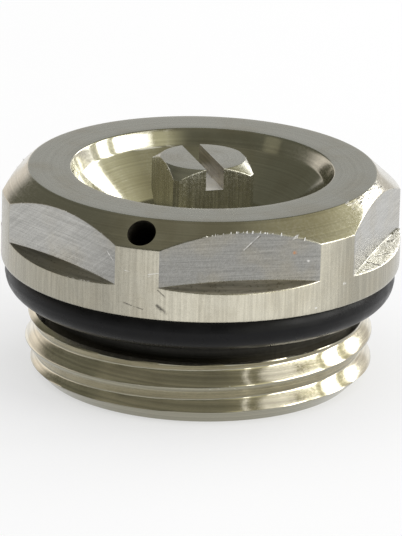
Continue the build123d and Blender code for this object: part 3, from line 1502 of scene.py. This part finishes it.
@dataclass
class EdgeWear:
    """Finds where slivers sit on the plug and the screw."""

    plug: Plug
    screw: BleedScrew
    seed: int = 7
    lean_play: float = 18.0
    tilt_play: float = 0.25
    length_play: Span = (0.5, 1.6)
    height_play: Span = (0.35, 1.15)
    spikes: tuple[float, ...] = (
        21.3, 22.2, 22.9, 24.6, 26.9, 28.7, 29.2, 30.7, 31.6, 31.9, 33.6, 35.9, 37.4, 38.1, 39.7,
        42.3, 49.0,
    )
    large_chip_azimuth: float = 46.4
    side_chip_azimuth: float = 19.0
    edge_spread: float = 19.0
    edge_chips: tuple[int, int] = (5, 9)
    ledge_spread: float = 20.0
    ledge_chips: int = 9
    tears: tuple[Tear, ...] = (
        Tear(SHOULDER_CHIP, count=34, start=72, end=100, reach=0.45),
        Tear(SHOULDER_CURL, count=14, start=71, end=97, reach=0.16),
    )
    tear_inset: float = 0.02
    tear_slope: float = 0.9
    torn_chips: int = 46
    torn_spread: float = 22.0
    torn_inset: float = 0.08
    thread_nicks: int = 16
    nick_stretch: Span = (10.0, 95.0)
    nick_scatter: float = 0.1
    nick_inset: float = 0.02
    square_chips: int = 14
    square_spread: float = 42.0
    square_inset: float = 0.02
    square_drop: float = 0.03
    slot_clearance: float = 0.1

    def chip(
        self, maker: random.Random, kind: ChipKind, azimuth: float, radius: float, height: float
    ) -> Chip:
        """One sliver on an edge that runs round the axis.

        Args:
            maker: source of its small differences.
            kind: the kind of sliver.
            azimuth: where it stands.
            radius: distance of the edge from the axis.
            height: height of the edge.

        Returns:
            The sliver.
        """
        turn = math.radians(azimuth)
        lean = math.radians(kind.rise + maker.uniform(-self.lean_play, self.lean_play))
        tilt = maker.uniform(-self.tilt_play, self.tilt_play)
        length = kind.length * maker.uniform(*self.length_play)
        stand = kind.height * maker.uniform(*self.height_play)
        away = Vector((math.sin(turn), -math.cos(turn), 0))
        along = Vector((math.cos(turn), math.sin(turn), tilt)).normalized()
        outward = (away * math.cos(lean) + Vector((0, 0, math.sin(lean)))).normalized()
        foot = away * radius + Vector((0, 0, height))
        return Chip(foot, along, outward, length, stand)

    def flat_edge(self, azimuth: float) -> tuple[float, float]:
        """The edge between a flat and the shoulder.

        Args:
            azimuth: where along the head.

        Returns:
            Radius and height of the edge.
        """
        phi = math.radians(self.plug.from_flat(azimuth))
        radius = min(self.plug.flat_r / math.cos(phi), self.plug.collar_r)
        return radius, self.plug.shoulder_height(radius)

    def ledge_edge(self, azimuth: float) -> tuple[float, float]:
        """Radius and height of the edge between a ledge and the collar."""
        return self.plug.collar_r, self.plug.ledge_at(self.plug.collar_r, azimuth)

    def milled_edges(self, maker: random.Random) -> list[Chip]:
        """Slivers along the edges of the flats and the ledges.

        Args:
            maker: source of their small differences.

        Returns:
            The slivers.
        """
        chips = [self.chip(maker, SPIKE, spot, *self.flat_edge(spot)) for spot in self.spikes]
        single = ((LARGE_CHIP, self.large_chip_azimuth), (SIDE_CHIP, self.side_chip_azimuth))
        chips += [self.chip(maker, kind, spot, *self.flat_edge(spot)) for kind, spot in single]
        middles, spread = self.plug.flat_middles(), self.edge_spread
        for middle in middles[1:]:
            count = maker.randint(*self.edge_chips)
            spots = sorted(middle + maker.uniform(-spread, spread) for _ in range(count))
            chips += [self.chip(maker, FINE_CHIP, spot, *self.flat_edge(spot)) for spot in spots]
        for middle in middles:
            spots = [middle + maker.uniform(0, self.ledge_spread) for _ in range(self.ledge_chips)]
            chips += [self.chip(maker, LEDGE_CHIP, spot, *self.ledge_edge(spot)) for spot in spots]
        return chips

    def torn_places(self, maker: random.Random) -> list[Chip]:
        """Slivers on the torn stretch of the shoulder and on the torn ledge.

        Args:
            maker: source of their small differences.

        Returns:
            The slivers.
        """
        plug, chips = self.plug, []
        for tear in self.tears:
            for _ in range(tear.count):
                azimuth = maker.uniform(tear.start, tear.end)
                out = maker.uniform(self.tear_inset, tear.reach)
                height = plug.head_top - self.tear_slope * out
                chips.append(self.chip(maker, tear.kind, azimuth, plug.face_r + out, height))
        for _ in range(self.torn_chips):
            azimuth = plug.torn_azimuth + maker.uniform(-self.torn_spread, self.torn_spread)
            share = maker.uniform(0.0, 1.0)
            radius = share * plug.collar_r + (1 - share) * self.flat_edge(azimuth)[0]
            height = plug.ledge_at(radius, azimuth)
            radius = min(radius, plug.collar_r - self.torn_inset)
            chips.append(self.chip(maker, TORN_CHIP, azimuth, radius, height))
        return chips

    def nicks(self, maker: random.Random) -> list[Chip]:
        """Slivers on the thread's crests.

        Args:
            maker: source of their small differences.

        Returns:
            The slivers.
        """
        chips = []
        for _ in range(self.thread_nicks):
            azimuth = maker.uniform(*self.nick_stretch)
            off_crest = maker.uniform(-self.nick_scatter, self.nick_scatter)
            height = self.plug.crest_height(azimuth) + off_crest
            radius = self.plug.thread_r - self.nick_inset
            chips.append(self.chip(maker, THREAD_NICK, azimuth, radius, height))
        return chips

    def plug_burrs(self) -> Burrs:
        """All slivers of the plug.

        Returns:
            The slivers.
        """
        maker = random.Random(self.seed)
        chips = self.milled_edges(maker)
        chips += self.torn_places(maker)
        chips += self.nicks(maker)
        return Burrs(tuple(chips))

    def screw_burrs(self) -> Burrs:
        """Slivers along the top edges of the screw's square, clear of the slot.

        Returns:
            The slivers.
        """
        screw, chips = self.screw, []
        maker = random.Random(self.seed + 1)
        slope = math.tan(math.radians(screw.top_slope))
        slot_half = screw.slot_width / 2 + self.slot_clearance
        step = 360 / screw.side_count
        for side in range(screw.side_count):
            for _ in range(self.square_chips):
                angle = maker.uniform(-self.square_spread, self.square_spread)
                phi = math.radians(angle)
                if side % 2 == 0 and abs(screw.half_af * math.tan(phi)) < slot_half:
                    continue
                radius = min(screw.half_af / math.cos(phi), screw.corner_r)
                drop = max(radius - screw.top_r, 0.0) * slope + self.square_drop
                azimuth = screw.slot_azimuth + step * side + angle
                place = (azimuth, radius - self.square_inset, screw.top_z - drop)
                chips.append(self.chip(maker, SQUARE_CHIP, *place))
        return Burrs(tuple(chips))


@dataclass(frozen=True)
class Pane:
    """A bright pane, by its edges as seen from the part; azimuths start at the camera."""

    name: str
    left: float
    right: float
    low: float
    high: float
    gloss_only: bool = False


@dataclass(frozen=True)
class TentPaint:
    """Colours of the surroundings that the metal mirrors, and where each one starts and ends.

    A rise is a height, a side goes to the right, a front towards the camera, all on a tent of
    radius 1.
    """

    dim_low: Colour = (0.132, 0.131, 0.098)
    dim_high: Colour = (0.20, 0.193, 0.14)
    sunny_low: Colour = (0.68, 0.66, 0.46)
    sunny_high: Colour = (0.34, 0.32, 0.20)
    wall_left: Colour = (0.53, 0.53, 0.51)
    wall_right: Colour = (0.66, 0.65, 0.61)
    horizon_right: Colour = (0.66, 0.63, 0.58)
    horizon_left: Colour = (0.92, 0.86, 0.79)
    spot: Colour = (0.27, 0.26, 0.19)
    belt: Colour = (0.185, 0.178, 0.135)
    dim_rise: Span = (0.80, 0.95)
    sunny_rise: Span = (0.50, 0.88)
    sunny_side: Span = (0.15, 0.60)
    wall_side: Span = (0.0, 0.5)
    wall_front: Span = (-0.78, -0.90)
    wall_rise: Span = (0.75, 0.55)
    horizon_side: Span = (0.1, -0.2)
    horizon_front: Span = (0.45, -0.1)
    horizon_rise: Span = (0.28, 0.14)
    spot_place: Span = (-68.0, 26.0)
    spot_edge: Span = (0.988, 0.993)
    belt_foot: Span = (0.56, 0.66)
    belt_head: Span = (0.82, 0.76)
    belt_front: Span = (-0.1, 0.15)


@dataclass
class Studio:
    """Camera, floor, lamps and the tent that the metal mirrors."""

    camera_azimuth: float = 17.8
    camera_elevation: float = 17.63
    camera_distance: float = 300.0
    camera_roll: float = 1.55
    sensor_width: float = 36.0
    nearest: float = 10.0
    farthest: float = 20000.0
    focal_px: float = 5010.0
    image: tuple[int, int] = (402, 536)
    aim: Point = (0.0, 0.0, 12.7)
    aim_px: Span = (202.6, 167.2)
    floor_size: float = 6000.0
    floor_grey: float = 0.94
    floor_white: float = 0.5
    floor_glow: float = 1.04
    tent_r: float = 900.0
    tent_skirt: float = 20.0
    tent_meridians: int = 64
    tent_parallels: int = 32
    tent_paint: TentPaint = TentPaint()
    pane_distance: float = 500.0
    pane_level: float = 4.0
    glint_level: float = 0.68
    panes: tuple[Pane, ...] = (
        Pane("pane_front", left=31.0, right=36.0, low=2.0, high=16.0),
        Pane("pane_near", left=52.0, right=89.0, low=5.0, high=31.0),
        Pane("pane_slit", left=99.0, right=110.0, low=5.0, high=32.0),
        Pane("pane_far", left=121.0, right=150.0, low=13.0, high=29.0),
        Pane("pane_front_top", left=36.4, right=38.8, low=38.0, high=54.0, gloss_only=True),
        Pane("pane_near_top", left=54.7, right=74.3, low=37.0, high=53.0, gloss_only=True),
    )
    world_level: float = 0.79

    def toward(self, azimuth: float, elevation: float) -> Vector:
        """Unit vector towards a place in the studio.

        Args:
            azimuth: angle from the camera's side, towards the right of the picture.
            elevation: angle above the floor.

        Returns:
            The vector.
        """
        turn, rise = math.radians(self.camera_azimuth + azimuth), math.radians(elevation)
        level = math.cos(rise)
        return Vector((math.sin(turn) * level, -math.cos(turn) * level, math.sin(rise)))

    def camera(self) -> None:
        """Sets the camera where the photograph was taken from."""
        data = bpy.data.cameras.new("camera")
        data.sensor_width = self.sensor_width
        data.lens = self.focal_px / max(self.image) * data.sensor_width
        data.clip_start, data.clip_end = self.nearest * MM, self.farthest * MM
        camera = add_object("camera", data)
        back = self.toward(0.0, self.camera_elevation)
        camera.location = (Vector(self.aim) + back * self.camera_distance) * MM
        roll = Quaternion((0, 0, 1), math.radians(self.camera_roll))
        look = (-back).to_track_quat("-Z", "Y") @ roll
        across = (self.aim_px[0] - self.image[0] / 2) / self.focal_px
        up = (self.image[1] / 2 - self.aim_px[1]) / self.focal_px
        seen = Vector((across, up, -1.0))
        camera.rotation_mode = "QUATERNION"
        camera.rotation_quaternion = look @ seen.rotation_difference(Vector((0, 0, -1)))
        bpy.context.scene.camera = camera

    def floor(self) -> None:
        """Lays a plain pale floor that keeps the part's shadow."""
        half = self.floor_size / 2 * MM
        corners = [(-half, -half, 0), (half, -half, 0), (half, half, 0), (-half, half, 0)]
        mesh = bpy.data.meshes.new("floor")
        mesh.from_pydata(corners, [], [(0, 1, 2, 3)])
        material, board = new_material("floor_white")
        grey = (self.floor_grey, self.floor_grey, self.floor_grey, 1.0)
        plain = board.add("ShaderNodeBsdfDiffuse", None, Color=grey)
        glow = board.add("ShaderNodeEmission", None, Color=WHITE, Strength=self.floor_glow)
        ray = board.add("ShaderNodeLightPath").outputs
        seen = board.maths("ADD", ray["Is Camera Ray"], ray["Is Glossy Ray"])
        seen = board.maths("ADD", seen, ray["Is Transmission Ray"], clamp=True)
        share = board.maths("MULTIPLY", seen, self.floor_white)
        mixed = board.add("ShaderNodeMixShader")
        sources = (share, plain.outputs["BSDF"], glow.outputs["Emission"])
        for socket, source in zip(mixed.inputs, sources):
            board.feed(socket, source)
        board.show(mixed.outputs["Shader"])
        mesh.materials.append(material)
        floor = add_object("floor", mesh)

    def tent_material(self) -> Material:
        """Paints the tent: dim above and at the left, sunny at the right, a grey wall behind.

        A pale horizon runs round the back, with one dim spot at the left, and a dim belt crosses
        the front at half height.

        Returns:
            The material.
        """
        paint = self.tent_paint
        material, board = new_material("tent_cards")
        place = board.vector("NORMALIZE", board.add("ShaderNodeNewGeometry").outputs["Position"])
        right = board.vector("DOT_PRODUCT", place, tuple(self.toward(90.0, 0.0)))
        front = board.vector("DOT_PRODUCT", place, tuple(self.toward(0.0, 0.0)))
        spot = board.vector("DOT_PRODUCT", place, tuple(self.toward(*paint.spot_place)))
        rise = board.parts(place)["Z"]
        dim = board.mix(board.span(rise, *paint.dim_rise), paint.dim_low, paint.dim_high)
        sunny = board.mix(board.span(rise, *paint.sunny_rise), paint.sunny_low, paint.sunny_high)
        colour = board.mix(board.span(right, *paint.sunny_side), dim, sunny)
        wall = board.mix(board.span(right, *paint.wall_side), paint.wall_left, paint.wall_right)
        behind = board.span(front, *paint.wall_front)
        behind = board.maths("MULTIPLY", behind, board.span(rise, *paint.wall_rise))
        colour = board.mix(behind, colour, wall)
        leftward = board.span(right, *paint.horizon_side)
        pale = board.mix(leftward, paint.horizon_right, paint.horizon_left)
        horizon = board.span(front, *paint.horizon_front)
        horizon = board.maths("MULTIPLY", horizon, board.span(rise, *paint.horizon_rise))
        colour = board.mix(horizon, colour, pale)
        colour = board.mix(board.span(spot, *paint.spot_edge), colour, paint.spot)
        belt = board.span(rise, *paint.belt_foot)
        belt = board.maths("MULTIPLY", belt, board.span(rise, *paint.belt_head))
        belt = board.maths("MULTIPLY", belt, board.span(front, *paint.belt_front))
        colour = board.mix(belt, colour, paint.belt)
        shader = board.add("ShaderNodeEmission", None, Color=colour, Strength=1.0)
        board.show(shader.outputs["Emission"])
        return material

    def tent(self) -> None:
        """Hangs a half globe that only gloss shows."""
        work = bmesh.new()
        bmesh.ops.create_uvsphere(
            work,
            u_segments=self.tent_meridians,
            v_segments=self.tent_parallels,
            radius=self.tent_r * MM,
        )
        under = [vertex for vertex in work.verts if vertex.co.z < -self.tent_skirt * MM]
        bmesh.ops.delete(work, geom=under, context="VERTS")
        tent = mesh_object("tent", work, [self.tent_material()])
        tent.visible_camera = tent.visible_diffuse = False
        tent.visible_shadow = tent.visible_transmission = False

    def hang(self, pane: Pane) -> None:
        """Hangs one bright pane; a gloss-only pane lights nothing else.

        Args:
            pane: the pane.
        """
        middle = self.toward((pane.left + pane.right) / 2, (pane.low + pane.high) / 2)
        distance = self.pane_distance * MM
        lamp = bpy.data.lights.new(pane.name, "AREA")
        lamp.shape = "RECTANGLE"
        lamp.size = 2 * distance * math.tan(math.radians((pane.right - pane.left) / 2))
        lamp.size_y = 2 * distance * math.tan(math.radians((pane.high - pane.low) / 2))
        level = self.glint_level if pane.gloss_only else self.pane_level
        lamp.energy = level * math.pi * lamp.size * lamp.size_y
        hung = add_object(pane.name, lamp)
        hung.location = middle * distance
        hung.rotation_mode = "QUATERNION"
        hung.rotation_quaternion = (-middle).to_track_quat("-Z", "Y")
        hung.visible_camera = False
        hung.visible_diffuse = not pane.gloss_only

    def surround(self) -> None:
        """Sets an even pale surround and plain view settings."""
        world = bpy.data.worlds.new("surround")
        world.use_nodes = True
        board = NodeBoard(world.node_tree)
        shade = board.add("ShaderNodeBackground", None, Color=WHITE, Strength=self.world_level)
        board.add("ShaderNodeOutputWorld", None, Surface=shade.outputs["Background"])
        bpy.context.scene.world = world
        bpy.context.scene.view_settings.view_transform = "Standard"

    def build(self) -> None:
        """Sets up the whole studio."""
        self.camera()
        self.floor()
        self.tent()
        for pane in self.panes:
            self.hang(pane)
        self.surround()


def main() -> None:
    """Builds every piece in order, then notes how many faces each piece has."""
    logging.basicConfig(level=logging.INFO, format="%(name)s: %(message)s")
    Studio().build()
    log.info("studio set")
    plug, screw = Plug(), BleedScrew()
    wear = EdgeWear(plug, screw)
    pieces = (
        plug.dress(wear.plug_burrs()),
        SealingRing().dress(),
        screw.dress(wear.screw_burrs()),
        ValvePad().dress(),
    )
    for piece in pieces:
        log.info("%s: %d faces", piece.name, len(piece.data.polygons))
    bpy.context.view_layer.update()


if __name__ == "__main__":
    main()
